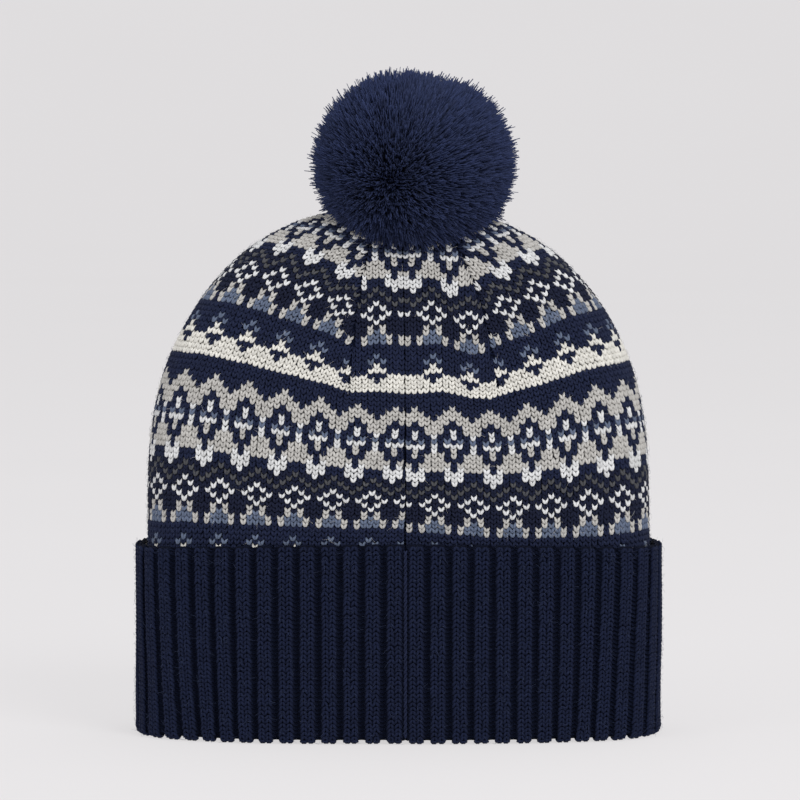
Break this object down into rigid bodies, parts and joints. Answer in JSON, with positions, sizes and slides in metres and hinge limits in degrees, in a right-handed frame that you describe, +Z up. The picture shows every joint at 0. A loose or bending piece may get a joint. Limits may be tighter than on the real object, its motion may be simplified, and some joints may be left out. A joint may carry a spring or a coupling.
{
  "type": "knitted bobble hat",
  "caption": "Knitted winter hat with a two-colour patterned body, gathered crown, ribbed turn-up cuff and a tied yarn pom-pom, standing on its open end.",
  "frame": {"origin": "centre of the hat's footprint on the surface it stands on, under the fold of the cuff", "axes": "+Z up from the open end to the pom-pom, -Y towards the side with the back seam, +X to the right seen from that side"},
  "size_m": [0.24, 0.104, 0.3068],
  "materials": {
    "stranded_knit": "navy wool stockinette with stranded motifs in cream, light grey, denim blue and charcoal",
    "rib_knit": "navy wool two by two rib, matt and slightly fuzzy",
    "seam_yarn": "plied navy yarn",
    "pompom_pile": "cut navy yarn pile, fluffy"
  },
  "bodies": {
    "hat": {"fair_isle_body": "stranded_knit", "rib_inner_layer": "rib_knit", "rib_seam": "seam_yarn", "body_seam": "seam_yarn", "crown_gather_yarn": "seam_yarn", "anchor_knot": "seam_yarn"},
    "cuff": {"cuff_outer_layer": "rib_knit", "cuff_seam": "seam_yarn"},
    "pompom_tie": {"pompom_shank": "seam_yarn"},
    "pompom": {"pompom_binding": "seam_yarn", "pompom_pile": "pompom_pile"}
  },
  "joints": [
    {"name": "cuff_turn_down", "type": "slide", "parent": "hat", "child": "cuff", "axis": [0, 0, -1], "range_m": [0, 0.08]},
    {"name": "pompom_loll_fore_aft", "type": "hinge", "parent": "hat", "child": "pompom_tie", "pos_m": [0, 0, 0.24285], "axis": [1, 0, 0], "range_deg": [-28, 28]},
    {"name": "pompom_loll_sideways", "type": "hinge", "parent": "pompom_tie", "child": "pompom", "pos_m": [0, 0, 0.24285], "axis": [0, 1, 0], "range_deg": [-28, 28]}
  ]
}
